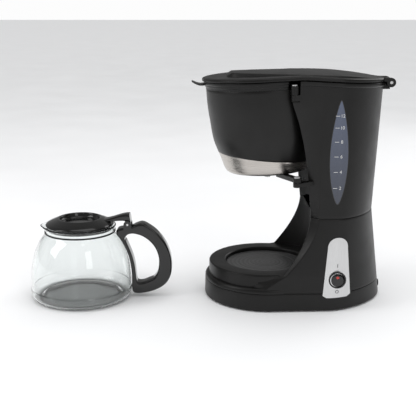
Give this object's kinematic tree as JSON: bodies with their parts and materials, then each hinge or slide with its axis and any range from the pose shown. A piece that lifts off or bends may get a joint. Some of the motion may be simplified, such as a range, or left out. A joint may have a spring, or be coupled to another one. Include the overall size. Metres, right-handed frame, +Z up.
{
  "type": "drip coffee maker",
  "caption": "Drip coffee maker with a swing-out brew basket, hinged lid, water tank with gauge, hot plate and a glass carafe standing in front.",
  "frame": {"origin": "on the counter, in the middle of the whole set's outline", "axes": "+X towards the side with the water gauge and the switch, +Y towards the back, +Z up; the front and the carafe are towards -Y"},
  "size_m": [0.1698, 0.4932, 0.3096],
  "materials": {
    "black_plastic": "satin",
    "black_gloss": "glossy",
    "plate_paint": "non-stick coating",
    "cast_aluminium": "as cast",
    "zinc": "zinc plated",
    "band_steel": "brushed",
    "silver_trim": "satin",
    "foot_rubber": "matte",
    "silicone": "translucent, matte",
    "gauge_plastic": "smoked, glossy",
    "tank_plastic": "smooth",
    "white_plastic": "satin",
    "ceramic": "matte",
    "red_lens": "translucent",
    "carafe_glass": "clear"
  },
  "bodies": {
    "machine": {"base_housing": "black_plastic", "bottom_plate": "black_plastic", "rubber_feet": "foot_rubber", "bottom_screws": "zinc", "hot_plate": "plate_paint", "heater_casting": "cast_aluminium", "heater_strap": "zinc", "thermostat": "black_gloss", "thermal_fuses": "ceramic", "check_valve": "white_plastic", "inlet_hose": "silicone", "outlet_hose": "silicone", "hose_clips": "zinc", "terminal_block": "white_plastic", "cord_gland": "foot_rubber", "tank_housing": "black_plastic", "water_tank": "tank_plastic", "gauge_window": "gauge_plastic", "riser_tube": "silicone", "spout_arm": "black_plastic", "switch_plate": "silver_trim", "switch_body": "black_gloss", "upper_bracket": "black_plastic", "upper_hinge_pin": "zinc", "lower_bracket": "black_plastic", "lower_hinge_pin": "zinc", "lid_bracket": "black_plastic", "lid_hinge_pin": "zinc"},
    "switch": {"rocker": "black_gloss", "rocker_lens": "red_lens"},
    "top_lid": {"lid": "black_plastic", "lid_panel": "black_plastic"},
    "brew_basket": {"basket": "black_plastic", "basket_rim": "black_plastic", "steel_band": "band_steel", "basket_arm": "black_plastic", "brew_funnel": "black_plastic", "valve_cage": "black_plastic", "valve_spring": "zinc"},
    "filter": {"filter_frame": "white_plastic", "filter_mesh": "white_plastic"},
    "drip_valve": {"valve_plunger": "white_plastic", "valve_seal": "silicone"},
    "carafe": {"carafe_glass": "carafe_glass", "carafe_band": "black_plastic", "carafe_handle": "black_gloss", "handle_screw": "zinc", "carafe_lid_pin": "zinc"},
    "pour_lid": {"carafe_lid": "black_gloss"}
  },
  "joints": [
    {"name": "lid_hinge", "type": "hinge", "parent": "machine", "child": "top_lid", "pos_m": [0, 0.2404, 0.296], "axis": [-1, 0, 0], "range_deg": [0, 95]},
    {"name": "basket_swing", "type": "hinge", "parent": "machine", "child": "brew_basket", "pos_m": [0.0765, 0.11335, 0.18073], "axis": [0, -0.0523, 0.9986], "range_deg": [0, 95]},
    {"name": "filter_lift", "type": "slide", "parent": "brew_basket", "child": "filter", "axis": [0, -0.0523, 0.9986], "range_m": [0, 0.02]},
    {"name": "drip_valve_slide", "type": "slide", "parent": "brew_basket", "child": "drip_valve", "axis": [0, -0.0523, 0.9986], "range_m": [0, 0.0035], "stiffness_N_per_m": 150, "springref_m": -0.01, "deforming": ["valve_spring"]},
    {"name": "switch_rocker", "type": "hinge", "parent": "machine", "child": "switch", "pos_m": [0.0746, 0.1694, 0.044], "axis": [0, -1, 0], "range_deg": [0, 14]},
    {"name": "carafe_lift", "type": "slide", "parent": "machine", "child": "carafe", "axis": [0, 0, 1], "range_m": [0, 0.15]},
    {"name": "pour_lid_hinge", "type": "hinge", "parent": "carafe", "child": "pour_lid", "pos_m": [0.014, -0.1106, 0.104], "axis": [-1, 0, 0], "range_deg": [0, 45]}
  ]
}
